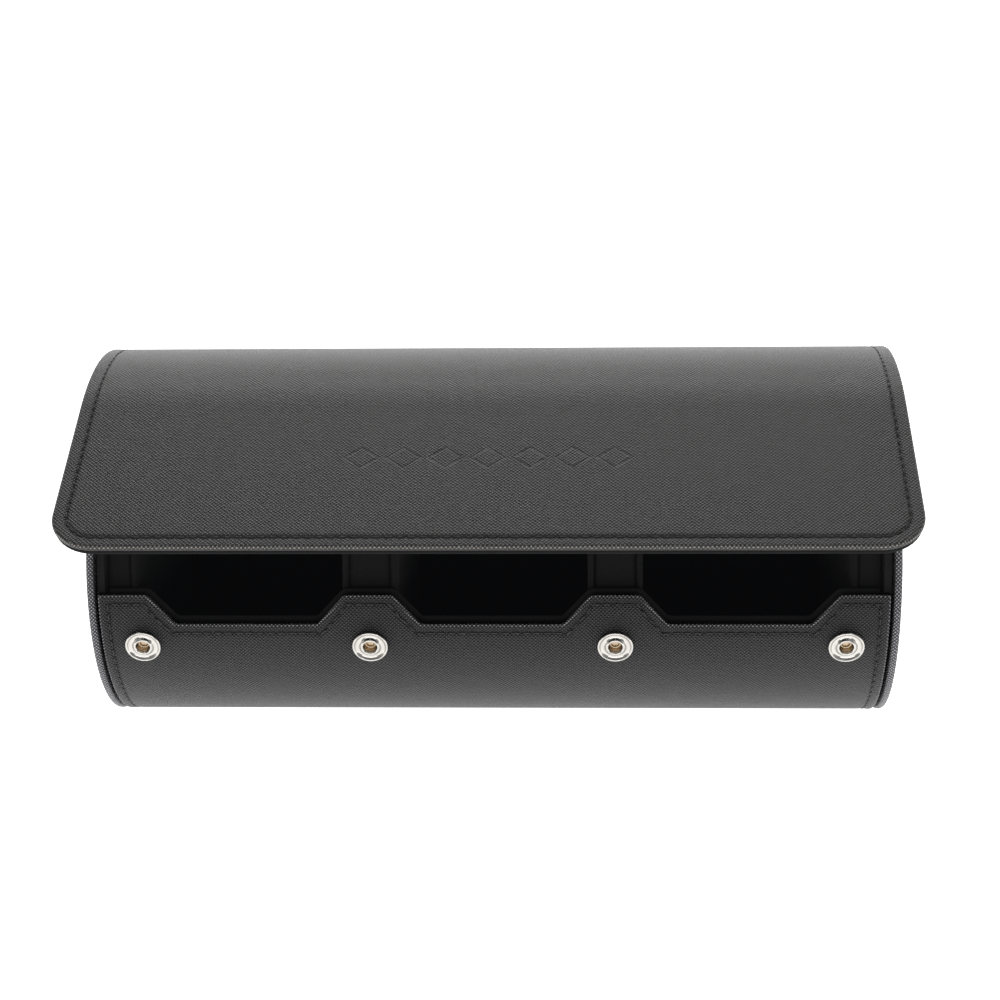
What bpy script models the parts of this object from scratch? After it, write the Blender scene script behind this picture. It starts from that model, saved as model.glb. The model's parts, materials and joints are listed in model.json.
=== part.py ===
"""Three-well roll case: a leather-covered round body with a soft snap-down flap.

X runs along the roll, -Y is the front with the snaps, +Z is up. The origin is the
middle of the flat base. All sizes are in metres.
"""

from math import asin, cos, hypot, pi, radians, sin

import bmesh
import bpy
from mathutils import Matrix

# Body: a round roll with a flat base, closed by a cap at each end.
BODY_LENGTH = 0.2200
BODY_RADIUS = 0.0465
BASE_CUT = 0.0032
CAP_THICKNESS = 0.0022
CAP_SEAM = 0.0008
ARC_STEP = radians(7.5)
GAP = 0.0003
AXIS_HEIGHT = BODY_RADIUS - BASE_CUT

# Wrap: outer leather, stiff board and lining, from outside in.
COVER = 0.0010
BOARD = 0.0012
LINING = 0.0006
SNAP_BACK_ROOM = 0.0011
BACK_EDGE = radians(21)
TURN_IN = 0.0010
BOARD_BELOW_EDGE = radians(1.2)
LINING_ABOVE_EDGE = radians(0.8)
LINING_UNDER_BLOCK = 0.0050

# Front panel: crests that carry the snaps, and a lower edge in front of each well.
CREST_ANGLE = radians(161)
VALLEY_ANGLE = radians(171.7)
INNER_SNAP_SHARE = 0.15182
OUTER_SNAP_FROM_END = 0.0142
CREST_HALF = 0.0066
OUTER_CREST_WIDTH = 0.0163
SLOPE = 0.0074
BOARD_CUT_BACK = 0.0008
LINING_SHOWN = 0.0009
CUTTER_ABOVE = 0.010
CUTTER_OUTSIDE = 0.008
CUTTER_INSIDE = 0.014

# Tray: two double-walled dividers and a padded block at each end.
DIVIDER_HALF = 0.0074
TRAY_WALL = 0.0016
END_BLOCK = 0.0106
TRAY_DEPTH = 0.0055
FILLER_DROP = 0.0009
END_BOARD = 0.0020
CROWN_INSET = 0.0020

# Room under the closed flap: a second circle, smaller and set a little lower and forward.
CROWN_IN = 0.0018
CROWN_DROP = 0.0012
CROWN_FORWARD = 0.0027
CAP_SHOULDER = radians(13)

# Flap: its middle surface leaves the wrap's back edge and opens out to a straight front.
# Its lengths are for a body of the drawn radius, and grow with it.
DRAWN_RADIUS = 0.0465
FLAP_OVERHANG = 0.0005
FLAP_COVER = 0.0009
FLAP_BOARD = 0.0009
FLAP_LINING = 0.0006
FLAP_CORNER = 0.012
CORNER_STEPS = 6
BOARD_INSET = 0.0023
LINING_INSET = 0.0010
FOLD_HEADING = radians(3)
FOLD_STRIP = 0.0050
SPINE_STRAIGHT = 0.0055
SPINE_RADIUS = 0.0220
SPINE_TURN = radians(49.4)
TOP_RADIUS = 0.0660
TOP_TURN = radians(47.1)
DROP_LENGTH = 0.0273
LIP_LENGTH = 0.0248
FOLD_GAP = 0.0012
BEND_GAP = 0.0008

# Snaps: a socket on each crest, a stud with its rivet on the flap.
SOCKET_RADIUS = 0.0049
SOCKET_RISE = 0.0008
SOCKET_WELL = 0.0019
SOCKET_EDGE = 0.0003
SOCKET_RIM = 0.0006
SOCKET_RING = 0.0005
TROUGH_WIDTH = 0.0011
TROUGH_DEPTH = 0.0005
SNAP_PLATE = 0.0004
BACK_RADIUS = 0.0034
BACK_CLEARANCE = 0.0005
BARREL_RADIUS = 0.0026
STUD_RADIUS = 0.0015
STUD_REACH = 0.0019
STUD_NOSE = 0.0004
STUD_HEAD = 0.0005
STUD_NECK = 0.0003
STUD_FROM_EDGE = 0.0084
HOLE_CLEARANCE = 0.0003
HOLE_DEPTH = 0.0080
TURN_STEPS = 20
TURN_MERGE = 0.00002

FLAP_THICKNESS = FLAP_COVER + FLAP_BOARD + FLAP_LINING + 2 * GAP
WRAP_HALF = BODY_LENGTH / 2 - CAP_THICKNESS - CAP_SEAM
FLAP_HALF = BODY_LENGTH / 2 + FLAP_OVERHANG
INNER_SNAP = BODY_LENGTH * INNER_SNAP_SHARE
OUTER_SNAP = BODY_LENGTH / 2 - OUTER_SNAP_FROM_END
OUTER_CREST_EDGE = BODY_LENGTH / 2 - OUTER_CREST_WIDTH
TRAY_RADIUS = BODY_RADIUS - TRAY_DEPTH
CROWN_RADIUS = BODY_RADIUS - CROWN_IN
GROWTH = BODY_RADIUS / DRAWN_RADIUS
SNAPS = {
    "far_left": -OUTER_SNAP,
    "mid_left": -INNER_SNAP,
    "mid_right": INNER_SNAP,
    "far_right": OUTER_SNAP,
}

for old in list(bpy.data.objects):
    bpy.data.objects.remove(old, do_unlink=True)
case = bpy.data.collections.new("roll_case")
cutters = bpy.data.collections.new("cutters")
for group in (case, cutters):
    bpy.context.scene.collection.children.link(group)
cutters.hide_render = True


def make_material(name, color, roughness, metallic=0.0):
    material = bpy.data.materials.new(name)
    material.use_nodes = True
    shader = material.node_tree.nodes["Principled BSDF"]
    shader.inputs["Base Color"].default_value = (*color, 1)
    shader.inputs["Roughness"].default_value = roughness
    shader.inputs["Metallic"].default_value = metallic
    return material


grained = make_material("grained_leather", (0.035, 0.035, 0.037), 0.45)
greyboard = make_material("greyboard", (0.20, 0.18, 0.16), 0.90)
velvet = make_material("velvet", (0.008, 0.008, 0.008), 0.95)
foam = make_material("foam", (0.02, 0.02, 0.02), 0.90)
nickel = make_material("nickel", (0.75, 0.73, 0.70), 0.20, 1.0)


def add_part(name, mesh, material):
    part = bpy.data.objects.new(name, mesh)
    mesh.materials.append(material)
    case.objects.link(part)
    return part


def hang(child, axis):
    """Parents a piece to the empty on the fold line that it turns about, where it is."""
    bpy.context.view_layer.update()
    child.parent = axis
    child.matrix_parent_inverse = axis.matrix_world.inverted()


def add_cutter(name, mesh):
    cutter = bpy.data.objects.new(name, mesh)
    cutters.objects.link(cutter)
    cutter.hide_render = True
    cutter.display_type = "WIRE"
    return cutter


def cut(part, cutter):
    modifier = part.modifiers.new(cutter.name, "BOOLEAN")
    modifier.operation = "DIFFERENCE"
    modifier.object = cutter


# ---- Cross sections, as (y, z) points ----


def arc(radius, start, end):
    """Points on a circle about the body's axis. Angles run from the back, over the top."""
    steps = max(2, round(abs(end - start) / ARC_STEP))
    turns = [start + (end - start) * i / steps for i in range(steps + 1)]
    return [(radius * cos(t), AXIS_HEIGHT + radius * sin(t)) for t in turns]


def floor_angle(radius, inset):
    """Where a circle about the axis meets the flat base, raised by inset."""
    return asin((AXIS_HEIGHT - inset) / radius)


def wrap_section(radius, start):
    """From the front's top edge under the body to its back edge, flat along the base."""
    corner = floor_angle(radius, BODY_RADIUS - radius)
    front = arc(radius, start, pi + corner)
    back = arc(radius, 2 * pi - corner, 2 * pi + BACK_EDGE)
    return front + back


def crown_reach(angle, inset):
    """Distance from the body's axis to the crown circle, drawn in by inset."""
    along = CROWN_FORWARD * cos(angle) + CROWN_DROP * sin(angle)
    across = hypot(CROWN_FORWARD, CROWN_DROP) ** 2 - (CROWN_RADIUS - inset) ** 2
    return (along**2 - across) ** 0.5 - along


def end_section(radius, crown_inset, base):
    """A closed disc: round below, under the crown circle above, flat at the base."""
    corner = floor_angle(radius, base)
    front = arc(radius, pi - CAP_SHOULDER, pi + corner)
    back = arc(radius, 2 * pi - corner, 2 * pi + CAP_SHOULDER)
    steps = round((pi - 2 * CAP_SHOULDER) / ARC_STEP)
    top = []
    for i in range(1, steps):
        angle = CAP_SHOULDER + (pi - 2 * CAP_SHOULDER) * i / steps
        reach = min(radius, crown_reach(angle, crown_inset))
        top.append((reach * cos(angle), AXIS_HEIGHT + reach * sin(angle)))
    return front + back + top


def slab(name, section, low, high, material):
    """A flat outline in the YZ plane, extruded from low to high along X."""
    curve = bpy.data.curves.new(name, "CURVE")
    curve.dimensions = "2D"
    curve.fill_mode = "BOTH"
    curve.extrude = (high - low) / 2
    spline = curve.splines.new("POLY")
    spline.points.add(len(section) - 1)
    for point, (y, z) in zip(spline.points, section):
        point.co = (y, z, 0, 1)
    spline.use_cyclic_u = True
    part = bpy.data.objects.new(name, curve)
    curve.materials.append(material)
    case.objects.link(part)
    part.matrix_world = Matrix(
        ((0, 0, 1, (low + high) / 2), (1, 0, 0, 0), (0, 1, 0, 0), (0, 0, 0, 1))
    )
    return part


def sheet(name, section, half, thickness, material, corner=0.0):
    """A sheet along an open section, wide 2 * half in X, rounded at its last two corners."""
    bm = bmesh.new()
    line = [bm.verts.new((-half, y, z)) for y, z in section]
    edges = [bm.edges.new(pair) for pair in zip(line, line[1:])]
    swept = bmesh.ops.extrude_edge_only(bm, edges=edges)["geom"]
    moved = [item for item in swept if isinstance(item, bmesh.types.BMVert)]
    bmesh.ops.translate(bm, verts=moved, vec=(2 * half, 0, 0))
    if corner:
        y, z = section[-1]
        ends = [v for v in bm.verts if hypot(v.co.y - y, v.co.z - z) < 1e-7]
        bmesh.ops.bevel(
            bm,
            geom=ends,
            offset=corner,
            segments=CORNER_STEPS,
            profile=0.5,
            affect="VERTICES",
            material=-1,
        )
    bmesh.ops.recalc_face_normals(bm, faces=bm.faces)
    mesh = bpy.data.meshes.new(name)
    bm.to_mesh(mesh)
    bm.free()
    part = add_part(name, mesh, material)
    solid = part.modifiers.new("thickness", "SOLIDIFY")
    solid.thickness = thickness
    solid.offset = 0
    solid.use_even_offset = True
    return part


# ---- Body wrap ----

cover_radius = BODY_RADIUS - COVER / 2
board_radius = BODY_RADIUS - COVER - GAP - BOARD / 2
lining_radius = board_radius - BOARD / 2 - SNAP_BACK_ROOM - LINING / 2
lining_floor = BODY_RADIUS - lining_radius + LINING / 2

wrap_cover = sheet(
    "wrap_cover",
    wrap_section(cover_radius, CREST_ANGLE),
    WRAP_HALF,
    COVER,
    grained,
)
wrap_board = sheet(
    "wrap_board",
    wrap_section(board_radius, CREST_ANGLE + BOARD_BELOW_EDGE),
    WRAP_HALF - TURN_IN,
    BOARD,
    greyboard,
)
tray_lining = sheet(
    "tray_lining",
    wrap_section(lining_radius, CREST_ANGLE - LINING_ABOVE_EDGE),
    BODY_LENGTH / 2 - END_BLOCK + LINING_UNDER_BLOCK,
    LINING,
    velvet,
)


def well_cutter(name, low, high, inset):
    """A wedge with sloped ends that takes the front's edge down to the valley line."""
    valley = AXIS_HEIGHT + BODY_RADIUS * sin(VALLEY_ANGLE) - inset
    crest = AXIS_HEIGHT + BODY_RADIUS * sin(CREST_ANGLE)
    lean = SLOPE / (crest - valley)
    top = crest + CUTTER_ABOVE
    spread = lean * (top - valley)
    bm = bmesh.new()
    bmesh.ops.create_cube(bm, size=1)
    for v in bm.verts:
        side = low - inset if v.co.x < 0 else high + inset
        if v.co.z > 0:
            side += spread if v.co.x > 0 else -spread
        v.co.z = top if v.co.z > 0 else valley
        v.co.x = side
        v.co.y = -BODY_RADIUS + (-CUTTER_OUTSIDE if v.co.y < 0 else CUTTER_INSIDE)
    mesh = bpy.data.meshes.new(name)
    bm.to_mesh(mesh)
    bm.free()
    return add_cutter(name, mesh)


inner_valley = INNER_SNAP - CREST_HALF - SLOPE
near_valley = INNER_SNAP + CREST_HALF + SLOPE
far_valley = OUTER_CREST_EDGE - SLOPE
WELL_EDGES = {
    "left": (-far_valley, -near_valley),
    "middle": (-inner_valley, inner_valley),
    "right": (near_valley, far_valley),
}
LAYER_CUTS = (
    (wrap_cover, 0.0),
    (wrap_board, BOARD_CUT_BACK),
    (tray_lining, -LINING_SHOWN),
)
for layer, inset in LAYER_CUTS:
    for well, (low, high) in WELL_EDGES.items():
        cut(layer, well_cutter(f"{layer.name}_{well}_cut", low, high, inset))


# ---- End caps and tray ----

end_x = BODY_LENGTH / 2
block_x = end_x - CAP_THICKNESS - END_BLOCK
for side, sign in (("left", -1), ("right", 1)):
    cap_inner = end_x - CAP_THICKNESS
    board_outer = cap_inner - GAP
    board_inner = board_outer - END_BOARD
    filler_outer = board_inner - GAP
    filler_inner = block_x + TRAY_WALL + GAP
    stack = (
        (f"{side}_cap", BODY_RADIUS, 0.0, 0.0, cap_inner, end_x, grained),
        (
            f"{side}_cap_board",
            board_radius - BOARD / 2 - GAP,
            CROWN_INSET + GAP,
            BODY_RADIUS - board_radius + BOARD / 2 + GAP,
            board_inner,
            board_outer,
            greyboard,
        ),
        (
            f"{side}_end_filler",
            TRAY_RADIUS - FILLER_DROP,
            CROWN_INSET + FILLER_DROP,
            lining_floor + GAP,
            filler_inner,
            filler_outer,
            foam,
        ),
        (
            f"{side}_end_wall",
            TRAY_RADIUS,
            CROWN_INSET,
            lining_floor + GAP,
            block_x,
            block_x + TRAY_WALL,
            velvet,
        ),
    )
    for name, radius, crown_inset, base, near, far, material in stack:
        low, high = sorted((sign * near, sign * far))
        slab(name, end_section(radius, crown_inset, base), low, high, material)

for side, centre in (("left", -INNER_SNAP), ("right", INNER_SNAP)):
    edges = (
        -DIVIDER_HALF,
        -DIVIDER_HALF + TRAY_WALL,
        DIVIDER_HALF - TRAY_WALL,
        DIVIDER_HALF,
    )
    walls = (("near_wall", edges[0], edges[1]), ("far_wall", edges[2], edges[3]))
    section = end_section(TRAY_RADIUS, CROWN_INSET, lining_floor + GAP)
    for name, low, high in walls:
        slab(f"{side}_divider_{name}", section, centre + low, centre + high, velvet)
    section = end_section(
        TRAY_RADIUS - FILLER_DROP, CROWN_INSET + FILLER_DROP, lining_floor + GAP
    )
    low = centre + edges[1] + GAP
    high = centre + edges[2] - GAP
    slab(f"{side}_divider_filler", section, low, high, foam)


# ---- Flap ----


class FlapPath:
    """The flap's middle surface, followed from the fold as straight runs and arcs."""

    def __init__(self, y, z, heading):
        self.y, self.z, self.heading = y, z, heading

    def at(self, offset):
        """The point offset outwards from the middle surface."""
        return (
            self.y + offset * cos(self.heading),
            self.z + offset * sin(self.heading),
        )

    def straight(self, length):
        self.y -= length * sin(self.heading)
        self.z += length * cos(self.heading)

    def bend(self, radius, turn):
        self.y += radius * (cos(self.heading + turn) - cos(self.heading))
        self.z += radius * (sin(self.heading + turn) - sin(self.heading))
        self.heading += turn

    def run(self, moves, offset):
        """Section points along moves of (length, radius), a radius of 0 being straight."""
        points = [self.at(offset)]
        for length, radius in moves:
            steps = max(1, round(length / radius / ARC_STEP)) if radius else 1
            for _ in range(steps):
                if radius:
                    self.bend(radius, length / radius / steps)
                else:
                    self.straight(length)
                points.append(self.at(offset))
        return points


hinge_radius = BODY_RADIUS - FLAP_THICKNESS / 2
outer_face = FLAP_THICKNESS / 2
FOLD_LINE = (hinge_radius * cos(BACK_EDGE), AXIS_HEIGHT + hinge_radius * sin(BACK_EDGE))
spine_radius = SPINE_RADIUS * GROWTH
top_radius = TOP_RADIUS * GROWTH
# Each strip: the gap before it, its run of (length, radius), and the face its fold is on.
STRIPS = {
    "fold": (FOLD_GAP, [(FOLD_STRIP, 0)], outer_face),
    "spine": (
        FOLD_GAP,
        [(SPINE_STRAIGHT * GROWTH, 0), (spine_radius * SPINE_TURN, spine_radius)],
        -outer_face,
    ),
    "top": (BEND_GAP, [(top_radius * TOP_TURN, top_radius)], outer_face),
    "drop": (BEND_GAP, [(DROP_LENGTH * GROWTH, 0)], -outer_face),
    "lip": (BEND_GAP, [(LIP_LENGTH * GROWTH, 0)], -outer_face),
}
# Each layer: thickness, offset from the middle surface, inset from the edges, material.
board_offset = outer_face - FLAP_COVER - GAP - FLAP_BOARD / 2
LAYERS = {
    "cover": (FLAP_COVER, outer_face - FLAP_COVER / 2, 0.0, grained),
    "board": (FLAP_BOARD, board_offset, BOARD_INSET, greyboard),
    "lining": (FLAP_LINING, FLAP_LINING / 2 - outer_face, LINING_INSET, velvet),
}


def path_to(strip):
    """The flap's path, followed to where this strip's material begins."""
    path = FlapPath(*FOLD_LINE, FOLD_HEADING)
    for name, (gap, moves, _) in STRIPS.items():
        path.straight(gap)
        if name == strip:
            break
        path.run(moves, 0)
    return path


flap = {}
above = None
for strip, (gap, moves, fold_face) in STRIPS.items():
    fold = path_to(strip)
    fold.straight(-gap / 2)
    axis = bpy.data.objects.new(f"{strip}_axis", None)
    case.objects.link(axis)
    axis.location = (0, *fold.at(fold_face))
    if above:
        hang(axis, above)
    above = axis
    for layer, (thickness, offset, inset, material) in LAYERS.items():
        if (strip, layer) == ("fold", "board"):
            continue
        run, corner = list(moves), 0.0
        if strip == "lip":
            run[-1] = (run[-1][0] - inset, 0)
            corner = FLAP_CORNER - inset
        section = path_to(strip).run(run, offset)
        part = sheet(
            f"{strip}_{layer}", section, FLAP_HALF - inset, thickness, material, corner
        )
        hang(part, axis)
        flap[strip, layer] = part


# ---- Snaps ----


def turned(name, profile, place, facing):
    """A profile of (radius, height) turned about its axis, which tilts from +Z by facing."""
    mesh = bpy.data.meshes.new(name)
    points = [(radius, 0, height) for radius, height in profile]
    edges = [(i, i + 1) for i in range(len(points) - 1)]
    mesh.from_pydata(points, edges, [])
    part = add_part(name, mesh, nickel)
    screw = part.modifiers.new("turn", "SCREW")
    screw.axis = "Z"
    screw.steps = screw.render_steps = TURN_STEPS
    screw.use_merge_vertices = True
    screw.merge_threshold = TURN_MERGE
    part.location = place
    part.rotation_euler = (facing, 0, 0)
    return part


def drill(part, snap, radius, place, facing):
    """A round hole, longer than any wall that it passes through."""
    bm = bmesh.new()
    bmesh.ops.create_cone(
        bm,
        cap_ends=True,
        segments=TURN_STEPS,
        radius1=radius,
        radius2=radius,
        depth=HOLE_DEPTH,
    )
    mesh = bpy.data.meshes.new(f"{part.name}_{snap}_hole")
    bm.to_mesh(mesh)
    bm.free()
    cutter = add_cutter(mesh.name, mesh)
    cutter.location = place
    cutter.rotation_euler = (facing, 0, 0)
    cut(part, cutter)


barrel_depth = COVER + GAP + BOARD
well_radius = STUD_RADIUS + HOLE_CLEARANCE
SOCKET_PROFILE = (
    (0.0, -SOCKET_WELL),
    (well_radius, -SOCKET_WELL),
    (well_radius, SOCKET_RISE - SOCKET_EDGE),
    (well_radius + SOCKET_RING, SOCKET_RISE),
    (SOCKET_RADIUS - SOCKET_RIM - TROUGH_WIDTH, SOCKET_RISE - TROUGH_DEPTH),
    (SOCKET_RADIUS - SOCKET_RIM, SOCKET_RISE),
    (SOCKET_RADIUS, SOCKET_RISE - SOCKET_EDGE),
    (SOCKET_RADIUS, GAP),
    (BARREL_RADIUS, GAP),
    (BARREL_RADIUS, -barrel_depth),
    (0.0, -barrel_depth),
)
BACK_PROFILE = (
    (0.0, SNAP_PLATE),
    (BACK_RADIUS, SNAP_PLATE),
    (BACK_RADIUS, 0.0),
    (0.0, 0.0),
)
RIVET_PROFILE = (
    (0.0, FLAP_BOARD),
    (BACK_RADIUS, FLAP_BOARD),
    (BACK_RADIUS, GAP),
    (STUD_RADIUS, GAP),
    (STUD_RADIUS, -FLAP_LINING),
    (0.0, -FLAP_LINING),
)
STUD_PROFILE = (
    (0.0, STUD_REACH),
    (STUD_RADIUS - STUD_NOSE, STUD_REACH),
    (STUD_RADIUS, STUD_REACH - STUD_NOSE),
    (STUD_RADIUS - STUD_NECK, STUD_REACH - STUD_NOSE - STUD_HEAD),
    (STUD_RADIUS - STUD_NECK, SNAP_PLATE),
    (BACK_RADIUS - STUD_NECK, SNAP_PLATE),
    (BACK_RADIUS, 0.0),
    (0.0, 0.0),
)
lip_line = path_to("lip")
lip_line.straight(LIP_LENGTH * GROWTH - STUD_FROM_EDGE)
inward = lip_line.heading + pi / 2
outward = lip_line.heading - pi / 2
lip_axis = flap["lip", "cover"].parent
for snap, x in SNAPS.items():
    front = (x, -BODY_RADIUS, AXIS_HEIGHT)
    turned(f"{snap}_socket", SOCKET_PROFILE, front, pi / 2)
    plate_y = -BODY_RADIUS + barrel_depth + BACK_CLEARANCE + SNAP_PLATE
    turned(f"{snap}_socket_back", BACK_PROFILE, (x, plate_y, AXIS_HEIGHT), pi / 2)
    for layer in (wrap_cover, wrap_board):
        drill(layer, snap, BARREL_RADIUS + HOLE_CLEARANCE, front, pi / 2)

    stud_place = (x, *lip_line.at(-outer_face - GAP))
    rivet_place = (x, *lip_line.at(board_offset - FLAP_BOARD / 2))
    hang(turned(f"{snap}_stud", STUD_PROFILE, stud_place, inward), lip_axis)
    hang(turned(f"{snap}_rivet", RIVET_PROFILE, rivet_place, outward), lip_axis)
    for layer, radius in (("board", BACK_RADIUS), ("lining", STUD_RADIUS)):
        part = flap["lip", layer]
        drill(part, snap, radius + HOLE_CLEARANCE, rivet_place, outward)
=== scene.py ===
"""Three-well roll case: a grained leather roll with a soft flap, velvet wells and snaps.

X runs along the roll, -Y is the front, +Z is up. All sizes are in metres.
"""

import json
from math import atan2, cos, hypot, pi, radians, sin, sqrt

import bmesh
import bpy
from mathutils import Matrix, Vector

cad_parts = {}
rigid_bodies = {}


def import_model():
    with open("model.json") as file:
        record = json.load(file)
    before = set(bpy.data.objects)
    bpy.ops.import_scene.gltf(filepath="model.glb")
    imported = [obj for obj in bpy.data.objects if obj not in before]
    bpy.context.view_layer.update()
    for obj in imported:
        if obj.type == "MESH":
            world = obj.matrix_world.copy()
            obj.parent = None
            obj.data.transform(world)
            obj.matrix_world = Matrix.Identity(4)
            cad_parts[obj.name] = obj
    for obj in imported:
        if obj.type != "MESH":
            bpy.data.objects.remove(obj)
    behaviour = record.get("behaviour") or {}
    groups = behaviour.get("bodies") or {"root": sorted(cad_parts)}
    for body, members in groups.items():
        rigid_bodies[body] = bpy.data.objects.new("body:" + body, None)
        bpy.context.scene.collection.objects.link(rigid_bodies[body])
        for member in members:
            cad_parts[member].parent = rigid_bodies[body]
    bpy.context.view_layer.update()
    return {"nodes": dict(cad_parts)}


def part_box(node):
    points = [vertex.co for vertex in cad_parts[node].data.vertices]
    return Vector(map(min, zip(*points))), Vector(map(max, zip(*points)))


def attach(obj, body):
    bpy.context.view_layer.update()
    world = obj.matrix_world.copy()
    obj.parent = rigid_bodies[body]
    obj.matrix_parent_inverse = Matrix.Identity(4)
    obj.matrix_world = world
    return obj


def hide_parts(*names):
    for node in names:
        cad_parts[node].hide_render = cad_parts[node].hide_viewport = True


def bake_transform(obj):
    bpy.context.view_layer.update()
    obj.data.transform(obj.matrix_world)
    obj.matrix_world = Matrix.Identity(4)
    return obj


for old in list(bpy.data.objects):
    bpy.data.objects.remove(old, do_unlink=True)
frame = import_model()
scene = bpy.context.scene

# ---- The outer sheet's path ----
# The leather covers the case as one sheet: from the front panel's top edge, down the
# front, along the base, up the back, over the fold and out to the flap's front edge.
RADIUS = 0.0465
AXIS_Z = 0.0433
TOP_TURN = radians(155)
BASE_TURN = radians(243)
BASE_END_TURN = radians(297)
BACK_TURN = radians(381)
FOLD_TURN = radians(3)
FLAP_THICK = 0.0030
STEP = 0.0005


def follow(moves, y, z, turn):
    """Points each STEP along runs of (length, radius), with the way that each one faces."""
    points = []
    for length, radius in moves:
        steps = max(1, round(length / STEP))
        for _ in range(steps):
            points.append((y, z, turn))
            if radius:
                bend = length / radius / steps
                y += radius * (cos(turn + bend) - cos(turn))
                z += radius * (sin(turn + bend) - sin(turn))
                turn += bend
            else:
                y -= length / steps * sin(turn)
                z += length / steps * cos(turn)
    points.append((y, z, turn))
    return points


foot = (AXIS_Z + RADIUS * sin(BASE_TURN)) / (1 + sin(BASE_TURN))
base_half = (RADIUS - foot) * -cos(BASE_TURN)
SHORT_OF_FOLD = 0.0010
wrap_path = follow(
    [
        (RADIUS * (BASE_TURN - TOP_TURN), RADIUS),
        (foot * (radians(270) - BASE_TURN), foot),
        (2 * base_half, 0),
        (foot * (radians(270) - BASE_TURN), foot),
        (RADIUS * (BACK_TURN - BASE_END_TURN) - SHORT_OF_FOLD, RADIUS),
    ],
    RADIUS * cos(TOP_TURN),
    AXIS_Z + RADIUS * sin(TOP_TURN),
    TOP_TURN,
)
# The flap rises straight from the fold, turns over the spine, curves over the roll's top
# and runs out straight to its front edge.
OUTER = FLAP_THICK / 2
SPINE_RADIUS, SPINE_BEND = 0.0220 + OUTER, radians(49.4)
TOP_RADIUS, TOP_BEND = 0.0660 + OUTER, radians(47.1)
hinge = RADIUS - OUTER
flap_start = (
    hinge * cos(BACK_TURN) + OUTER * cos(FOLD_TURN),
    AXIS_Z + hinge * sin(BACK_TURN) + OUTER * sin(FOLD_TURN),
    FOLD_TURN + 2 * pi,
)
flap_path = follow(
    [
        (0.0129, 0),
        (SPINE_RADIUS * SPINE_BEND, SPINE_RADIUS),
        (0.0008, 0),
        (TOP_RADIUS * TOP_BEND, TOP_RADIUS),
        (0.0537, 0),
    ],
    *flap_start,
)
# The two runs are joined past the fold, and the join is smoothed.
LEAD_IN = 0.0012
line = wrap_path + flap_path[round(LEAD_IN / STEP) :]
seam = len(wrap_path)
for _ in range(6):
    for i in range(seam - 6, seam + 6):
        line[i] = tuple((a + 2 * b + c) / 4 for a, b, c in zip(line[i - 1], line[i], line[i + 1]))
reach = [0.0]
for (y0, z0, _), (y1, z1, _) in zip(line, line[1:]):
    reach.append(reach[-1] + hypot(y1 - y0, z1 - z0))
SEAM = reach[len(wrap_path)]
END = reach[-1]


def on_sheet(x, along, depth):
    """The point at x, a length along the path, and depth under the outer face."""
    along = min(max(along, 0.0), END)
    i = min(int(along / STEP), len(line) - 2)
    while i > 0 and reach[i] > along:
        i -= 1
    while i < len(line) - 2 and reach[i + 1] < along:
        i += 1
    share = (along - reach[i]) / (reach[i + 1] - reach[i])
    y, z, turn = (a + (b - a) * share for a, b in zip(line[i], line[i + 1]))
    return Vector((x, y - depth * cos(turn), z - depth * sin(turn)))


# ---- Edges ----
# The leather is turned in round the board and sewn near its edge. Each row is a distance
# along the leather from the turned edge, then how far in and how deep that point sits.


def turned_edge(stitch_in, deep):
    """A dip at the line of stitches, a soft pillow, a crisp turn, and a face this deep."""
    return [
        (stitch_in + 0.0014, stitch_in + 0.0014, 0.00000),
        (stitch_in + 0.0008, stitch_in + 0.0008, 0.00004),
        (stitch_in + 0.0003, stitch_in + 0.0003, 0.00018),
        (stitch_in, stitch_in, 0.00028),
        (stitch_in - 0.0003, stitch_in - 0.0003, 0.00018),
        (stitch_in - 0.0008, stitch_in - 0.0008, 0.00002),
        (0.0013, 0.00130, -0.00006),
        (0.0008, 0.00080, -0.00006),
        (0.0005, 0.00050, -0.00002),
        (0.0003, 0.00028, 0.00006),
        (0.0001, 0.00012, 0.00020),
        (-0.0001, 0.00003, 0.00038),
        (-0.0004, 0.00000, 0.00065),
        (0.0007 - deep, 0.00004, deep - 0.00045),
        (0.0004 - deep, 0.00018, deep - 0.00018),
        (0.0001 - deep, 0.00050, deep - 0.00004),
        (-0.0004 - deep, 0.00100, deep),
        (-0.0024 - deep, 0.00300, deep),
    ]


WRAP_STITCH = 0.0026
FLAP_STITCH = 0.0037
WRAP_FOLDED = 0.0022
FLAP_FOLDED = 0.0016
WRAP_EDGE = turned_edge(WRAP_STITCH, WRAP_FOLDED)
FLAP_EDGE = turned_edge(FLAP_STITCH, FLAP_FOLDED)
# The lining's edge is cut square, and shows as a dark strip under the leather.
LINING_EDGE = [
    (0.0010, 0.0010, 0.00300),
    (0.0003, 0.0003, 0.00296),
    (0.0001, 0.0001, 0.00286),
    (0.0000, 0.0000, 0.00262),
    (-0.0010, 0.0000, 0.00170),
    (-0.0012, 0.0001, 0.00160),
    (-0.0018, 0.0006, 0.00155),
]


def edge_at(edge, e):
    """(distance in, depth) of the leather at e from its turned edge."""
    if e >= edge[0][0]:
        return e, edge[0][2]
    for (e1, g1, d1), (e0, g0, d0) in zip(edge, edge[1:]):
        if e >= e0:
            share = (e - e0) / (e1 - e0)
            return g0 + (g1 - g0) * share, d0 + (d1 - d0) * share
    return edge[-1][1:]


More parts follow.
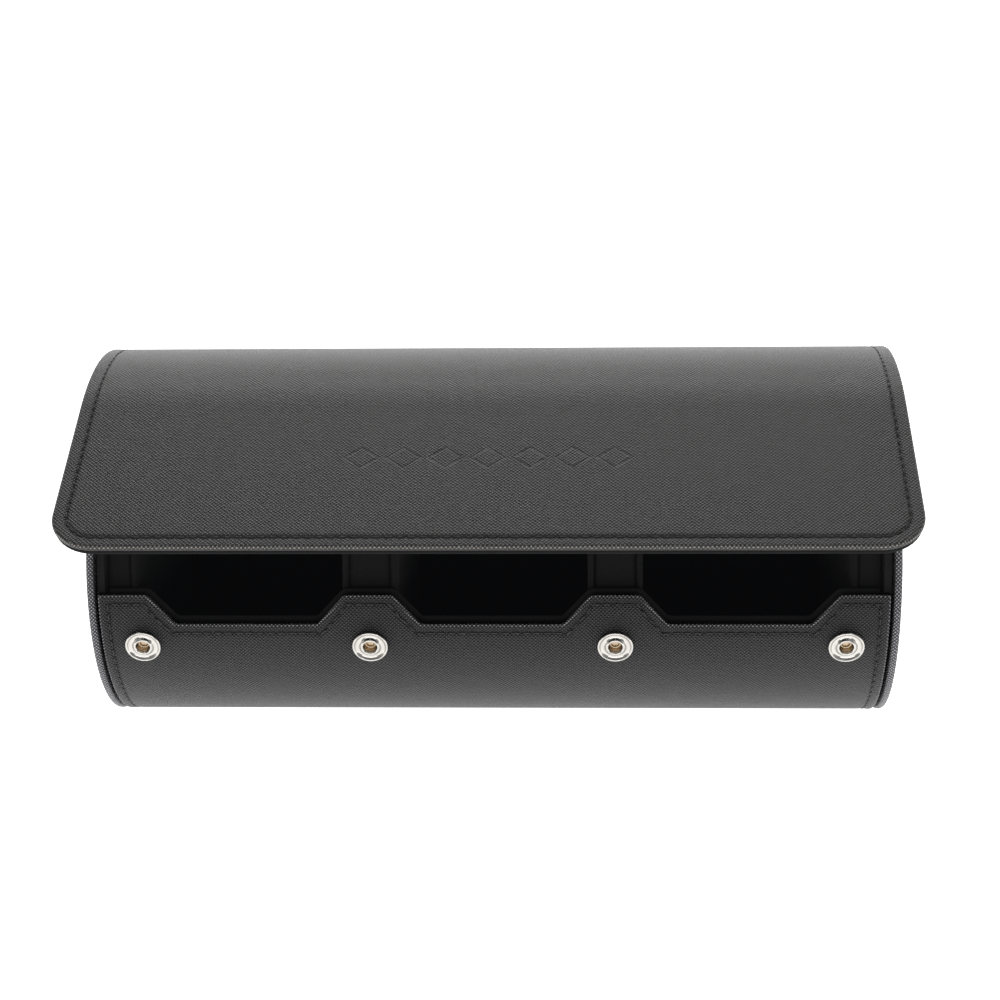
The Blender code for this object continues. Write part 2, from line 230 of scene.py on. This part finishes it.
def add_grid(bm, cells):
    """Quads over rows of (point, u, v, e): the leather laid out flat, and e from its edge."""
    flat = bm.loops.layers.uv.get("flat") or bm.loops.layers.uv.new("flat")
    rim = bm.loops.layers.uv.get("rim") or bm.loops.layers.uv.new("rim")
    rows = [[bm.verts.new(cell[0]) for cell in row] for row in cells]
    for row in range(len(rows) - 1):
        for i in range(len(rows[row]) - 1):
            corners = ((row, i), (row + 1, i), (row + 1, i + 1), (row, i + 1))
            face = bm.faces.new([rows[r][c] for r, c in corners])
            for loop, (r, c) in zip(face.loops, corners):
                loop[flat].uv = cells[r][c][1:3]
                loop[rim].uv = (cells[r][c][3], 0)


def spread(low, high, step):
    """Even steps from low to high, both ends included."""
    count = max(1, round((high - low) / step))
    return [low + (high - low) * i / count for i in range(count + 1)]


# ---- Body wrap ----
# Black cross-grained leather, glued over stiff board that is rolled round the end caps.
# The front's top edge rises to four flat crests that carry the snaps, and drops to a
# straight lip in front of each well.


def start_material(name, color, roughness, metallic=0.0):
    """A Principled material; returns it with its node tree and shader."""
    material = bpy.data.materials.new(name)
    material.use_nodes = True
    tree = material.node_tree
    shader = tree.nodes["Principled BSDF"]
    shader.inputs["Base Color"].default_value = (*color, 1)
    shader.inputs["Roughness"].default_value = roughness
    shader.inputs["Metallic"].default_value = metallic
    return material, tree, shader


def add(tree, kind, **settings):
    """A node with its properties and, where a key is an input's name, its value set."""
    node = tree.nodes.new(kind)
    for key, value in settings.items():
        if key in node.inputs:
            node.inputs[key].default_value = value
        else:
            setattr(node, key, value)
    return node


def maths(tree, operation, a, b=0.0):
    """A Math node whose operands are sockets or numbers; returns its output socket."""
    node = tree.nodes.new("ShaderNodeMath")
    node.operation = operation
    for slot, value in zip(node.inputs, (a, b)):
        if isinstance(value, (int, float)):
            slot.default_value = value
        else:
            tree.links.new(value, slot)
    return node.outputs[0]


def ramp(tree, value, low, high, at_low, at_high):
    """Runs from at_low to at_high while value runs from low to high; returns its socket."""
    node = add(tree, "ShaderNodeMapRange", interpolation_type="SMOOTHSTEP")
    tree.links.new(value, node.inputs["Value"])
    for key, number in zip(
        ("From Min", "From Max", "To Min", "To Max"), (low, high, at_low, at_high)
    ):
        node.inputs[key].default_value = number
    return node.outputs[0]


# Cross-grained leather: two sets of fine slanting ridges that cross, over a soft unevenness.
# The turned edge gets a painted highlight; the line of stitches and the turned-in face get painted
# shade.
GRAIN_PITCH = 0.00074
GRAIN_DRIFT = 0.0006


def leather_material(name, tint_and_painted_light, grain_depth, stitch_in, ornament):
    """Black leather in a tint that also paints light and shade on this copy, its grain this deep,
    with or without a pressed ornament.
    """
    material, tree, shader = start_material(name, (0.012, 0.012, 0.012), 0.42)
    shader.inputs["Specular IOR Level"].default_value = 0.42
    place = add(tree, "ShaderNodeUVMap", uv_map="flat")
    wander = add(tree, "ShaderNodeTexNoise", Scale=260.0, Detail=2.0)
    tree.links.new(place.outputs[0], wander.inputs["Vector"])
    split = add(tree, "ShaderNodeSeparateXYZ")
    tree.links.new(place.outputs[0], split.inputs[0])
    x, y = split.outputs[0], split.outputs[1]
    drift = maths(tree, "MULTIPLY", maths(tree, "SUBTRACT", wander.outputs[0], 0.5), GRAIN_DRIFT)
    ridges = []
    for slant, pitch in ((1.0, GRAIN_PITCH), (-1.0, GRAIN_PITCH * 1.07)):
        across = maths(tree, "ADD", x, maths(tree, "MULTIPLY", y, slant))
        across = maths(tree, "ADD", across, drift)
        turn = maths(tree, "MULTIPLY", across, pi / (pitch * sqrt(2)))
        ridges.append(maths(tree, "ABSOLUTE", maths(tree, "SINE", turn)))
    cross = maths(tree, "POWER", maths(tree, "MULTIPLY", ridges[0], ridges[1]), 0.8)
    uneven = add(tree, "ShaderNodeTexNoise", Scale=900.0, Detail=3.0)
    tree.links.new(place.outputs[0], uneven.inputs["Vector"])
    height = maths(tree, "ADD", cross, maths(tree, "MULTIPLY", uneven.outputs[0], 0.5))
    rim_map = add(tree, "ShaderNodeUVMap", uv_map="rim")
    rim = add(tree, "ShaderNodeSeparateXYZ")
    tree.links.new(rim_map.outputs[0], rim.inputs[0])
    edge = rim.outputs[0]
    shade = ramp(tree, height, 0.25, 1.25, 0.0010, 0.0190)
    # Painted shade: the turned-in face below the edge is made darker.
    shade = maths(tree, "MULTIPLY", shade, ramp(tree, edge, -0.0010, -0.0004, 0.25, 1.0))
    # Painted shade: the leather is darker along the groove that holds the stitches.
    from_stitch = maths(tree, "ABSOLUTE", maths(tree, "SUBTRACT", edge, stitch_in))
    shade = maths(tree, "MULTIPLY", shade, ramp(tree, from_stitch, 0.0001, 0.0005, 0.40, 1.0))
    # Painted highlight: a thin band along the turned edge's crest, lighter on the grain's ridges.
    rim_highlight_band = maths(
        tree,
        "MULTIPLY",
        ramp(tree, edge, -0.0005, -0.0001, 0.0, 1.0),
        ramp(tree, edge, 0.0001, 0.0007, 1.0, 0.0),
    )
    painted_rim_highlight = maths(tree, "MULTIPLY", rim_highlight_band, ramp(tree, height, 0.6, 1.1, 0.02, 0.27))
    shade = maths(tree, "ADD", shade, painted_rim_highlight)
    if ornament:
        pressed = ornament(tree, x, y)
        height = maths(tree, "SUBTRACT", height, maths(tree, "MULTIPLY", pressed, 3.0))
        shade = maths(tree, "MULTIPLY", shade, maths(tree, "SUBTRACT", 1.0, pressed))
    bump = add(tree, "ShaderNodeBump", Strength=1.0, Distance=grain_depth)
    tree.links.new(height, bump.inputs["Height"])
    tree.links.new(bump.outputs[0], shader.inputs["Normal"])
    paint = add(tree, "ShaderNodeCombineColor")
    for slot, part in zip(paint.inputs, tint_and_painted_light):
        tree.links.new(maths(tree, "MULTIPLY", shade, part), slot)
    tree.links.new(paint.outputs[0], shader.inputs["Base Color"])
    return material


def add_piece(name, bm, material, smooth=True, flip=False):
    """A finished mesh object; flip turns its faces to look the other way."""
    if flip:
        bmesh.ops.reverse_faces(bm, faces=bm.faces)
    for face in bm.faces:
        face.smooth = smooth
    mesh = bpy.data.meshes.new(name)
    bm.to_mesh(mesh)
    bm.free()
    mesh.materials.append(material)
    piece = bpy.data.objects.new(name, mesh)
    scene.collection.objects.link(piece)
    return piece


WRAP_HALF = 0.1070
CREST_TURN = radians(161)
VALLEY_TURN = radians(171.7)
CREST = RADIUS * (CREST_TURN - TOP_TURN)
VALLEY = RADIUS * (VALLEY_TURN - TOP_TURN)
# The slopes' foot and head, as distances from the middle of the roll.
SLOPES = ((0.0194, 0.0268), (0.0400, 0.0474), (0.0863, 0.0937))
SNAP_X = (-0.0958, -0.0334, 0.0334, 0.0958)


def sharp_top(x):
    """The top edge at x with its corners left sharp."""
    (a, b), (c, d), (e, f) = SLOPES
    knots = ((0, 0), (a, 0), (b, 1), (c, 1), (d, 0), (e, 0), (f, 1), (1, 1))
    for (x0, v0), (x1, v1) in zip(knots, knots[1:]):
        if abs(x) <= x1:
            rise = v0 + (v1 - v0) * (abs(x) - x0) / (x1 - x0)
            return VALLEY + (CREST - VALLEY) * rise
    return CREST


def top_edge(x):
    """Where the front panel's edge lies along the path at x, its corners a little eased."""
    return sum(sharp_top(x + 0.0003 * i) for i in range(-2, 3)) / 5


def steepness(x):
    """How much longer the top edge is than its run along x."""
    rise = (top_edge(x + 0.0005) - top_edge(x - 0.0005)) / 0.001
    return sqrt(1 + rise * rise)


def wrap_point(x_edge, row, x_side):
    """A point of the wrap from its distances to the side and to the top edge."""
    depth = edge_at(WRAP_EDGE, min(x_edge, row))[1]
    x = x_side * (WRAP_HALF - edge_at(WRAP_EDGE, x_edge)[0])
    lean = steepness(x)
    down = top_edge(x) + edge_at(WRAP_EDGE, row)[0] * lean
    return x, down, depth, x_side * (WRAP_HALF - x_edge), top_edge(x) + row * lean


EDGE_STEPS = [e for e, _, _ in WRAP_EDGE]
WRAP_FLAT = WRAP_EDGE[0][0]
inner_x = spread(-WRAP_HALF + WRAP_FLAT, WRAP_HALF - WRAP_FLAT, 0.0007)[1:-1]
columns = [(e, -1) for e in reversed(EDGE_STEPS)]
columns += [(WRAP_HALF - abs(x), -1 if x < 0 else 1) for x in inner_x]
columns += [(e, 1) for e in EDGE_STEPS]
cells = []
for row in reversed(EDGE_STEPS):
    line_of_cells = []
    for x_edge, x_side in columns:
        x, down, depth, u, v = wrap_point(x_edge, row, x_side)
        line_of_cells.append((on_sheet(x, down, depth), u, v, min(x_edge, row)))
    cells.append(line_of_cells)
# Below this length the rows run level.
EVEN_FROM = 0.040
for share in spread(0, 1, 0.07)[1:]:
    line_of_cells = []
    for x_edge, x_side in columns:
        x, down, depth, u, v = wrap_point(x_edge, WRAP_FLAT, x_side)
        depth = edge_at(WRAP_EDGE, x_edge)[1]
        down += (EVEN_FROM - down) * share
        line_of_cells.append((on_sheet(x, down, depth), u, down, x_edge))
    cells.append(line_of_cells)
WRAP_END = SEAM - 0.0030
for down in spread(EVEN_FROM, WRAP_END, 0.0016)[1:]:
    line_of_cells = []
    for x_edge, x_side in columns:
        inset, depth = edge_at(WRAP_EDGE, x_edge)
        u = x_side * (WRAP_HALF - x_edge)
        point = on_sheet(x_side * (WRAP_HALF - inset), down, depth)
        line_of_cells.append((point, u, down, x_edge))
    cells.append(line_of_cells)
bm = bmesh.new()
add_grid(bm, cells)
# The leather is cut out under each socket's ring, where the stud's head goes in.
HOLE_RADIUS = 0.0029
holes = []
for face in bm.faces:
    x, y, z = face.calc_center_median()
    if y < 0 and any(hypot(x - snap_x, z - AXIS_Z) < HOLE_RADIUS for snap_x in SNAP_X):
        holes.append(face)
bmesh.ops.delete(bm, geom=holes, context="FACES")
# The wrap's copy is painted lighter, standing in for light that its front panel lacks.
leather = leather_material("body_leather", (1.15, 1.15, 1.23), 0.00050, WRAP_STITCH, None)
wrap = add_piece("wrap_leather", bm, leather)
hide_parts("wrap_cover")
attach(wrap, "case")


thread, _, _ = start_material("thread", (0.006, 0.006, 0.006), 0.55)


STITCH_PITCH = 0.0029
STITCH_LENGTH = 0.0022
STITCH_THICK = 0.00024
STITCH_DEPTH = 0.00016


def sew(name, trail, body_or_blend):
    """Black stitches, each a short thread that dips at both ends, along (x, along) points."""
    bm = bmesh.new()
    travelled, due = 0.0, 0.0
    for (x0, s0), (x1, s1) in zip(trail, trail[1:]):
        span = hypot(x1 - x0, s1 - s0)
        while due <= travelled + span:
            share = (due - travelled) / span
            x, s = x0 + (x1 - x0) * share, s0 + (s1 - s0) * share
            step_x, step_s = (x1 - x0) / span, (s1 - s0) / span
            middle = on_sheet(x, s, STITCH_DEPTH)
            half = STITCH_LENGTH / 2
            ahead = on_sheet(x + step_x * half, s + step_s * half, STITCH_DEPTH) - middle
            out = (on_sheet(x, s, STITCH_DEPTH - 0.001) - middle).normalized()
            side = out.cross(ahead).normalized() * STITCH_THICK
            shape = Matrix((side, out * STITCH_THICK * 0.9, ahead)).transposed().to_4x4()
            bmesh.ops.create_uvsphere(
                bm,
                u_segments=8,
                v_segments=6,
                radius=1,
                matrix=Matrix.Translation(middle) @ shape,
            )
            due += STITCH_PITCH
        travelled += span
    piece = add_piece(name, bm, thread)
    if isinstance(body_or_blend, str):
        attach(piece, body_or_blend)
    else:
        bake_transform(piece)


side_x = WRAP_HALF - WRAP_STITCH
corner = top_edge(side_x) + WRAP_STITCH
trail = [(-side_x, s) for s in spread(corner, WRAP_END, 0.002)][::-1]
trail += [(x, top_edge(x) + WRAP_STITCH * steepness(x)) for x in spread(-side_x, side_x, 0.001)]
trail += [(side_x, s) for s in spread(corner, WRAP_END, 0.002)]
sew("wrap_stitches", trail, "case")

# ---- Flap ----
# A leather cover and a velvet lining, sewn together round strips of board. The pieces are
# built fixed in their rest shape; each spans one of five fold lines and meets its
# neighbours halfway along a strip.
FLAP_HALF = 0.1105
CORNER = 0.0120
LINING_MARGIN = 0.0004
FLARE_BEFORE = 0.0030
FLARE_LENGTH = 0.0055
# Each piece: the two bodies it joins, where it starts and ends, and where it bends.
FLAP_PIECES = (
    ("fold", "case", "flap_fold", -0.0030, 0.0031, -0.0026, 0.0024),
    ("spine", "flap_fold", "flap_spine", 0.0031, 0.0190, 0.0034, 0.0090),
    ("top", "flap_spine", "flap_top", 0.0190, 0.0600, 0.0240, 0.0420),
    ("drop", "flap_top", "flap_drop", 0.0600, 0.1020, 0.0790, 0.0990),
    ("lip", "flap_drop", "flap_lip", 0.1020, None, 0.1080, 0.1245),
)


def velvet_material(name, color, nap):
    """Short pile: very dark, with a faint sheen, a fine mottled nap and a faint painted glow."""
    material, tree, shader = start_material(name, (color, color, color), 0.95)
    shader.inputs["Specular IOR Level"].default_value = 0.15
    shader.inputs["Sheen Weight"].default_value = nap
    shader.inputs["Sheen Roughness"].default_value = 0.45
    # Painted glow: a faint emission lifts the velvet out of the shade in the wells.
    shader.inputs["Emission Color"].default_value = (0.0022, 0.0023, 0.0026, 1)
    shader.inputs["Emission Strength"].default_value = 1.0
    place = add(tree, "ShaderNodeTexCoord")
    pile = add(tree, "ShaderNodeTexNoise", Scale=1400.0, Detail=4.0)
    tree.links.new(place.outputs["Object"], pile.inputs["Vector"])
    bump = add(tree, "ShaderNodeBump", Strength=0.5, Distance=0.0002)
    tree.links.new(pile.outputs[0], bump.inputs["Height"])
    tree.links.new(bump.outputs[0], shader.inputs["Normal"])
    return material


def half_at(s):
    """The sheet's half width, which grows past the end caps where the flap begins."""
    share = min(max((s - SEAM + FLARE_BEFORE) / FLARE_LENGTH, 0), 1)
    return WRAP_HALF + (FLAP_HALF - WRAP_HALF) * share * share * (3 - 2 * share)


def flap_mesh(edge, margin, start, end):
    """One piece of the flap's cover or lining; without an end it has the rounded front."""
    steps = [CORNER - margin, 0.0085, 0.0065] + [e for e, _, _ in edge]
    inner = FLAP_HALF - CORNER
    across = spread(-inner, inner, 0.0020)
    stop = END - CORNER if end is None else SEAM + end
    bm = bmesh.new()
    cells = []
    for s in spread(SEAM + start, stop, 0.0008):
        row = []
        half = half_at(s) - margin
        for e in reversed(steps):
            inset, depth = edge_at(edge, e)
            row.append((on_sheet(-half + inset, s, depth), e - half, s, e))
        for x in across[1:-1]:
            x *= (half + margin - CORNER) / inner
            row.append((on_sheet(x, s, edge[0][2]), x, s, CORNER))
        for e in steps:
            inset, depth = edge_at(edge, e)
            row.append((on_sheet(half - inset, s, depth), half - e, s, e))
        cells.append(row)
    add_grid(bm, cells)
    if end is None:
        cells = []
        for e in steps:
            inset, depth = edge_at(edge, e)
            s = END - margin - inset
            cells.append([(on_sheet(x, s, depth), x, END - margin - e, e) for x in across])
        add_grid(bm, cells)
        for sign in (-1, 1):
            cells = []
            for turn in spread(0, pi / 2, pi / 24):
                row = []
                for e in steps[::sign]:
                    inset, depth = edge_at(edge, e)
                    r, flat_r = CORNER - margin - inset, CORNER - margin - e
                    point = on_sheet(sign * (inner + r * cos(turn)), stop + r * sin(turn), depth)
                    u, v = sign * (inner + flat_r * cos(turn)), stop + flat_r * sin(turn)
                    row.append((point, u, v, e))
                cells.append(row)
            add_grid(bm, cells)
    bmesh.ops.remove_doubles(bm, verts=bm.verts, dist=0.000002)
    return bm


def lozenges(tree, x, y):
    """A row of plain lozenge outlines, pressed into the flap near its front."""
    pitch, half_row, half_tall, middle = 0.0110, 0.0385, 0.0048, SEAM + 0.1095
    place = maths(tree, "PINGPONG", maths(tree, "ADD", x, pitch * 7.5), pitch / 2)
    across = maths(tree, "SUBTRACT", 1.0, maths(tree, "MULTIPLY", place, 2 / pitch))
    along = maths(tree, "ABSOLUTE", maths(tree, "SUBTRACT", y, middle))
    reach_out = maths(tree, "ADD", across, maths(tree, "MULTIPLY", along, 1 / half_tall))
    off_line = maths(tree, "ABSOLUTE", maths(tree, "SUBTRACT", reach_out, 0.80))
    in_row = ramp(tree, maths(tree, "ABSOLUTE", x), half_row, half_row + 0.0001, 1.0, 0.0)
    return maths(tree, "MULTIPLY", in_row, ramp(tree, off_line, 0.07, 0.12, 0.7, 0.0))


flap_velvet = velvet_material("flap_lining", 0.004, 0.02)
# The flap's copy is scaled darker and warmer: painted shade that tones down the strong light on
# the flap.
flap_leather = leather_material("flap_leather", (0.84, 0.79, 0.74), 0.00024, FLAP_STITCH, lozenges)
for strip, parent, child, start, end, bend_from, bend_to in FLAP_PIECES:
    joint = (
        parent,
        child,
        on_sheet(0, SEAM + bend_from, FLAP_THICK / 2),
        on_sheet(0, SEAM + bend_to, FLAP_THICK / 2),
    )
    bm = flap_mesh(FLAP_EDGE, 0.0, start, end)
    cover = add_piece(f"{strip}_leather", bm, flap_leather)
    hidden = [f"{strip}_cover"] + ([] if strip == "fold" else [f"{strip}_board"])
    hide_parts(*hidden)
    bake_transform(cover)
    begin = max(start, -0.0005)
    bm = flap_mesh(LINING_EDGE, LINING_MARGIN, begin, end)
    lining = add_piece(f"{strip}_velvet", bm, flap_velvet, flip=True)
    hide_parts(f"{strip}_lining")
    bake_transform(lining)
    stop = END - CORNER if end is None else SEAM + end
    sides = spread(SEAM + start, stop, 0.001)
    left = [(FLAP_STITCH - half_at(s), s) for s in sides]
    right = [(half_at(s) - FLAP_STITCH, s) for s in sides]
    if end is None:
        r = CORNER - FLAP_STITCH
        turns = spread(0, pi / 2, pi / 24)
        inner = FLAP_HALF - CORNER
        bow = [(-inner - r * cos(t), stop + r * sin(t)) for t in turns]
        front = [(x, END - FLAP_STITCH) for x in spread(-inner, inner, 0.001)]
        bow_back = [(-x, s) for x, s in bow[::-1]]
        sew("lip_stitches", left + bow + front + bow_back + right[::-1], joint)
    else:
        sew(f"{strip}_stitches_left", left, joint)
        sew(f"{strip}_stitches_right", right, joint)

# ---- Tray lining ----
# One sheet of velvet over the wells' floor, front and back, glued to the wrap board. Its
# edge stands a little above the leather's.
velvet = velvet_material("velvet", 0.005, 0.02)
TRAY_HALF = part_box("tray_lining")[1].x
LINING_RISE = 0.0009
LINING_DEPTH = 0.0042
LINING_TOP = (
    (-0.0030, 0.0030, 0.00355),
    (-0.0004, 0.0004, 0.00360),
    (-0.0001, 0.0001, 0.00370),
    (0.0000, 0.0000, 0.00390),
    (0.0001, 0.0001, 0.00410),
    (0.0004, 0.0004, LINING_DEPTH),
    (0.0020, 0.0020, LINING_DEPTH),
)
cells = []
tray_x = spread(-TRAY_HALF, TRAY_HALF, 0.0008)
for _, inset, depth in LINING_TOP:
    row = []
    for x in tray_x:
        down = top_edge(x) + (inset - LINING_RISE) * steepness(x)
        row.append((on_sheet(x, down, depth), x, down, 0))
    cells.append(row)
for share in spread(0, 1, 0.02)[1:]:
    row = []
    for x in tray_x:
        down = top_edge(x) + (LINING_TOP[-1][1] - LINING_RISE) * steepness(x)
        down += (SEAM - 0.0004 - down) * share
        row.append((on_sheet(x, down, LINING_DEPTH), x, down, 0))
    cells.append(row)
bm = bmesh.new()
add_grid(bm, cells)
tray = add_piece("tray_velvet", bm, velvet, flip=True)
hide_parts("tray_lining")
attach(tray, "case")

# ---- End caps, end blocks and dividers ----
# Round plates that stand on end: leather-covered caps with a rolled edge, glued into the
# wrap's ends, and velvet-covered walls with padding between them.
SPOKES = 180
FACE_INSETS = (0.030, 0.014, 0.003)


def outline_of(node):
    """How far a plate's outline reaches from the roll's axis, at each spoke."""
    points = [v.co for v in frame["nodes"][node].data.vertices]
    base = min(p.z for p in points)
    polar = sorted((atan2(p.z - AXIS_Z, p.y) % (2 * pi), hypot(p.y, p.z - AXIS_Z)) for p in points)
    polar = [(polar[-1][0] - 2 * pi, polar[-1][1]), *polar, (polar[0][0] + 2 * pi, polar[0][1])]
    reaches = []
    for i in range(SPOKES):
        turn = (i + 0.5) * 2 * pi / SPOKES
        (t0, r0), (t1, r1) = next(
            (a, b) for a, b in zip(polar, polar[1:]) if a[0] <= turn <= b[0] and a[0] < b[0]
        )
        r = r0 + (r1 - r0) * (turn - t0) / (t1 - t0)
        if sin(turn) < 0:
            r = min(r, (AXIS_Z - base) / -sin(turn))
        reaches.append((turn, r))
    return reaches


def disc(name, node, rim_size, material):
    """A round plate on end with its rim rounded over, in a CAD node's place."""
    reaches = outline_of(node)
    low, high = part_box(node)[0].x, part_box(node)[1].x
    size = min(rim_size, (high - low) * 0.48)
    rounds = [(size * (1 - cos(t)), size * (1 - sin(t))) for t in spread(0, pi / 2, pi / 10)]
    loops = [(low, inset) for inset in FACE_INSETS]
    loops += [(low + x, inset) for x, inset in rounds]
    loops += [(high - x, inset) for x, inset in rounds[::-1]]
    loops += [(high, inset) for inset in FACE_INSETS[::-1]]
    bm = bmesh.new()
    flat = bm.loops.layers.uv.new("flat")
    rim = bm.loops.layers.uv.new("rim")
    rings = []
    for x, inset in loops:
        ring = []
        for turn, reached in reaches:
            r = reached - inset
            ring.append(bm.verts.new((x, r * cos(turn), AXIS_Z + r * sin(turn))))
        rings.append(ring)
    across = 0.0
    for j in range(len(rings) - 1):
        (x0, inset0), (x1, inset1) = loops[j], loops[j + 1]
        wide = hypot(x1 - x0, inset1 - inset0)
        on_face = max(inset0, inset1) > size * 1.01
        for i in range(len(reaches)):
            k = (i + 1) % len(reaches)
            face = bm.faces.new((rings[j][i], rings[j + 1][i], rings[j + 1][k], rings[j][k]))
            for loop in face.loops:
                near = loop.vert in (rings[j][i], rings[j][k])
                loop[rim].uv = (inset0 if near else inset1, 0)
                if on_face:
                    loop[flat].uv = loop.vert.co.yz
                else:
                    spoke = i + (loop.vert in (rings[j][k], rings[j + 1][k]))
                    arc = spoke * 2 * pi / SPOKES * RADIUS
                    loop[flat].uv = (across + (0 if near else wide), arc)
        across += wide
    for ring in (rings[0][::-1], rings[-1]):
        face = bm.faces.new(ring)
        for loop in face.loops:
            loop[flat].uv = loop.vert.co.yz
            loop[rim].uv = (CORNER, 0)
    bmesh.ops.recalc_face_normals(bm, faces=bm.faces)
    piece = add_piece(name, bm, material)
    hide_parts(node)
    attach(piece, "case")
    return piece


for side in ("left", "right"):
    cap = disc(f"{side}_cap_leather", f"{side}_cap", 0.0010, leather)
    for part, rim, slot in (
        ("end_wall", 0.0007, "velvet"),
        ("end_filler", 0.0010, "foam"),
        ("divider_near_wall", 0.0007, "velvet"),
        ("divider_far_wall", 0.0007, "velvet"),
        ("divider_filler", 0.0012, "foam"),
    ):
        piece = disc(f"{side}_{part}_velvet", f"{side}_{part}", rim, velvet)

# ---- Snaps ----
# Turned and pressed metal, riveted through the leather. Each socket is a nickel ring with a
# beaded rim, a hollow, a raised collar and a well lined with a sprung brass cup; each stud
# has a round head on a wide flange.
# Each row is a radius and a height.
SOCKET = (
    (0.00440, 0.00000),
    (0.00475, 0.00002),
    (0.00490, 0.00018),
    (0.00492, 0.00042),
    (0.00486, 0.00064),
    (0.00472, 0.00080),
    (0.00454, 0.00084),
    (0.00438, 0.00074),
    (0.00424, 0.00052),
    (0.00402, 0.00024),
    (0.00370, 0.00008),
    (0.00335, 0.00006),
    (0.00300, 0.00018),
    (0.00276, 0.00044),
    (0.00260, 0.00074),
    (0.00244, 0.00094),
    (0.00222, 0.00100),
    (0.00202, 0.00090),
    (0.00188, 0.00068),
    (0.00180, 0.00040),
    (0.00176, 0.00010),
)
SPRING = (
    (0.00176, 0.00010),
    (0.00160, -0.00010),
    (0.00151, -0.00040),
    (0.00156, -0.00080),
    (0.00160, -0.00124),
    (0.00110, -0.00112),
    (0.00060, -0.00104),
    (0.00000, -0.00102),
)
STUD = (
    (0.00000, 0.00190),
    (0.00070, 0.00188),
    (0.00115, 0.00172),
    (0.00142, 0.00146),
    (0.00148, 0.00116),
    (0.00136, 0.00084),
    (0.00124, 0.00066),
    (0.00130, 0.00048),
    (0.00170, 0.00040),
    (0.00290, 0.00038),
    (0.00325, 0.00030),
    (0.00340, 0.00014),
    (0.00336, 0.00000),
)


def metal_material(name, color, roughness):
    """Plated metal, a little uneven from wear."""
    material, tree, shader = start_material(name, color, roughness, 1.0)
    place = add(tree, "ShaderNodeTexCoord")
    wear = add(tree, "ShaderNodeTexNoise", Scale=500.0, Detail=2.0)
    tree.links.new(place.outputs["Object"], wear.inputs["Vector"])
    bump = add(tree, "ShaderNodeBump", Strength=0.12, Distance=0.0001)
    tree.links.new(wear.outputs[0], bump.inputs["Height"])
    tree.links.new(bump.outputs[0], shader.inputs["Normal"])
    return material


def lathe(name, profile, place, facing, material, body):
    """A profile of (radius, height) spun about an axis that leaves place along facing."""
    bm = bmesh.new()
    verts = [bm.verts.new((r, 0, h)) for r, h in profile]
    edges = [bm.edges.new(pair) for pair in zip(verts, verts[1:])]
    bmesh.ops.spin(
        bm,
        geom=verts + edges,
        cent=(0, 0, 0),
        axis=(0, 0, 1),
        angle=2 * pi,
        steps=64,
        use_merge=True,
    )
    bmesh.ops.remove_doubles(bm, verts=bm.verts, dist=0.000001)
    bmesh.ops.recalc_face_normals(bm, faces=bm.faces)
    turn = Vector(facing).to_track_quat("Z", "X").to_matrix().to_4x4()
    bmesh.ops.transform(bm, matrix=Matrix.Translation(place) @ turn, verts=bm.verts)
    piece = add_piece(name, bm, material)
    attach(piece, body)
    return piece


nickel = metal_material("nickel", (0.50, 0.485, 0.46), 0.10)
brass = metal_material("socket_spring", (0.42, 0.33, 0.23), 0.20)
STUD_IN = 0.0084
for snap, x in zip(("far_left", "mid_left", "mid_right", "far_right"), SNAP_X):
    front = (x, -RADIUS, AXIS_Z)
    ring = lathe(f"{snap}_socket_ring", SOCKET, front, (0, -1, 0), nickel, "case")
    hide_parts(f"{snap}_socket")
    lathe(f"{snap}_socket_spring", SPRING, front, (0, -1, 0), brass, "case")
    root = on_sheet(x, END - STUD_IN, FLAP_THICK + 0.0003)
    inward = root - on_sheet(x, END - STUD_IN, 0)
    head = lathe(f"{snap}_stud_head", STUD, root, inward, nickel, "flap_lip")
    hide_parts(f"{snap}_stud")

# ---- Hidden boards, backing plates and rivets ----
# Stiff black board inside the wrap and the caps, and the snaps' nickel back plates and
# rivets. They keep their plain shapes, since hardly any of them shows.
# The boards share the velvet's faint painted glow.
board_black = velvet_material("black_board", 0.010, 0.0)
for name, node in frame["nodes"].items():
    if not node.hide_render:
        node.data.materials.clear()
        node.data.materials.append(board_black if "board" in name else nickel)

# ---- Stage ----
# A pale floor that glows a little, and three soft lights: one long one behind the roll, a
# weak one above it and one in front.
camera_data = bpy.data.cameras.new("camera")
camera_data.lens, camera_data.sensor_width = 75.6, 36
camera = bpy.data.objects.new("camera", camera_data)
scene.collection.objects.link(camera)
camera.matrix_world = (
    Matrix.Translation((0.0246, -0.4977, 0.3959))
    @ Matrix.Rotation(radians(2.72), 4, "Z")
    @ Matrix.Rotation(radians(56), 4, "X")
    @ Matrix.Rotation(radians(-1.62), 4, "Z")
)
scene.camera = camera

bm = bmesh.new()
bmesh.ops.create_grid(bm, x_segments=1, y_segments=1, size=3)
white, tree, shader = start_material("white_floor", (0.9, 0.9, 0.9), 0.9)
shader.inputs["Emission Color"].default_value = (1, 1, 1, 1)
shader.inputs["Emission Strength"].default_value = 1.25
floor = add_piece("floor", bm, white, smooth=False)
floor.location.z = -0.0002

world = bpy.data.worlds.new("studio")
world.use_nodes = True
world.node_tree.nodes["Background"].inputs["Color"].default_value = (1, 1, 1, 1)
world.node_tree.nodes["Background"].inputs["Strength"].default_value = 0.40
scene.world = world


def soft_box(name, place, width, depth, energy):
    """A rectangular light that faces the roll."""
    light = bpy.data.lights.new(name, "AREA")
    light.shape = "RECTANGLE"
    light.size, light.size_y, light.energy = width, depth, energy
    lamp = bpy.data.objects.new(name, light)
    scene.collection.objects.link(lamp)
    lamp.location = place
    lamp.rotation_mode = "QUATERNION"
    lamp.rotation_quaternion = (Vector((0, 0, 0.05)) - lamp.location).to_track_quat("-Z", "Y")


soft_box("overhead", (0.0, 0.15, 1.1), 1.6, 1.0, 2.5)
soft_box("behind", (0.0, 1.25, 0.46), 1.8, 0.7, 11.5)
soft_box("front", (0.0, -1.3, 0.45), 1.6, 0.4, 7)
scene.view_settings.view_transform = "Standard"
